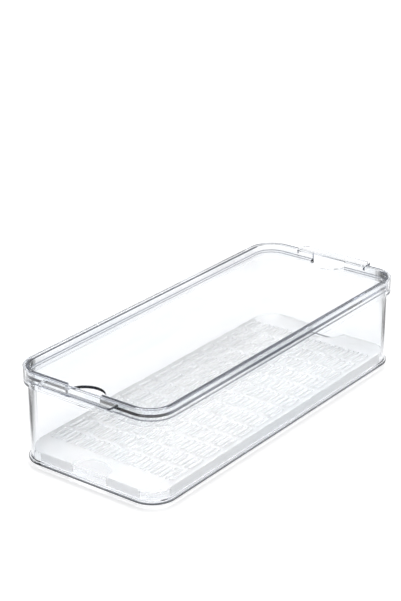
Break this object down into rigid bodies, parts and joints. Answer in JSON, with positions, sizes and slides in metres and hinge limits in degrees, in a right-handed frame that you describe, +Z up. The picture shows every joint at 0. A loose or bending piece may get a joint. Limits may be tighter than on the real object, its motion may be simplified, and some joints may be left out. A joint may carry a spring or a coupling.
{
  "type": "fridge produce bin",
  "caption": "Long clear storage bin with end grips, a drop-in lid with half-round finger notches, and a slotted drain insert that lifts out.",
  "frame": {"origin": "middle of the bin's footprint, on the shelf that its foot stands on", "axes": "+X along the bin from one end grip to the other, +Y across it, +Z up out of the mouth"},
  "size_m": [0.404, 0.16, 0.091],
  "materials": {
    "bin_plastic": "clear, glossy",
    "lid_plastic": "clear, glossy",
    "insert_plastic": "clear, glossy"
  },
  "bodies": {
    "bin": {"bin_body": "bin_plastic"},
    "lid": {"lid": "lid_plastic"},
    "drain_insert": {"drain_insert": "insert_plastic"}
  },
  "joints": [
    {"name": "lid_lift", "type": "slide", "parent": "bin", "child": "lid", "axis": [0, 0, 1], "range_m": [0, 0.12]},
    {"name": "insert_lift", "type": "slide", "parent": "bin", "child": "drain_insert", "axis": [0, 0, 1], "range_m": [0, 0.068]}
  ]
}
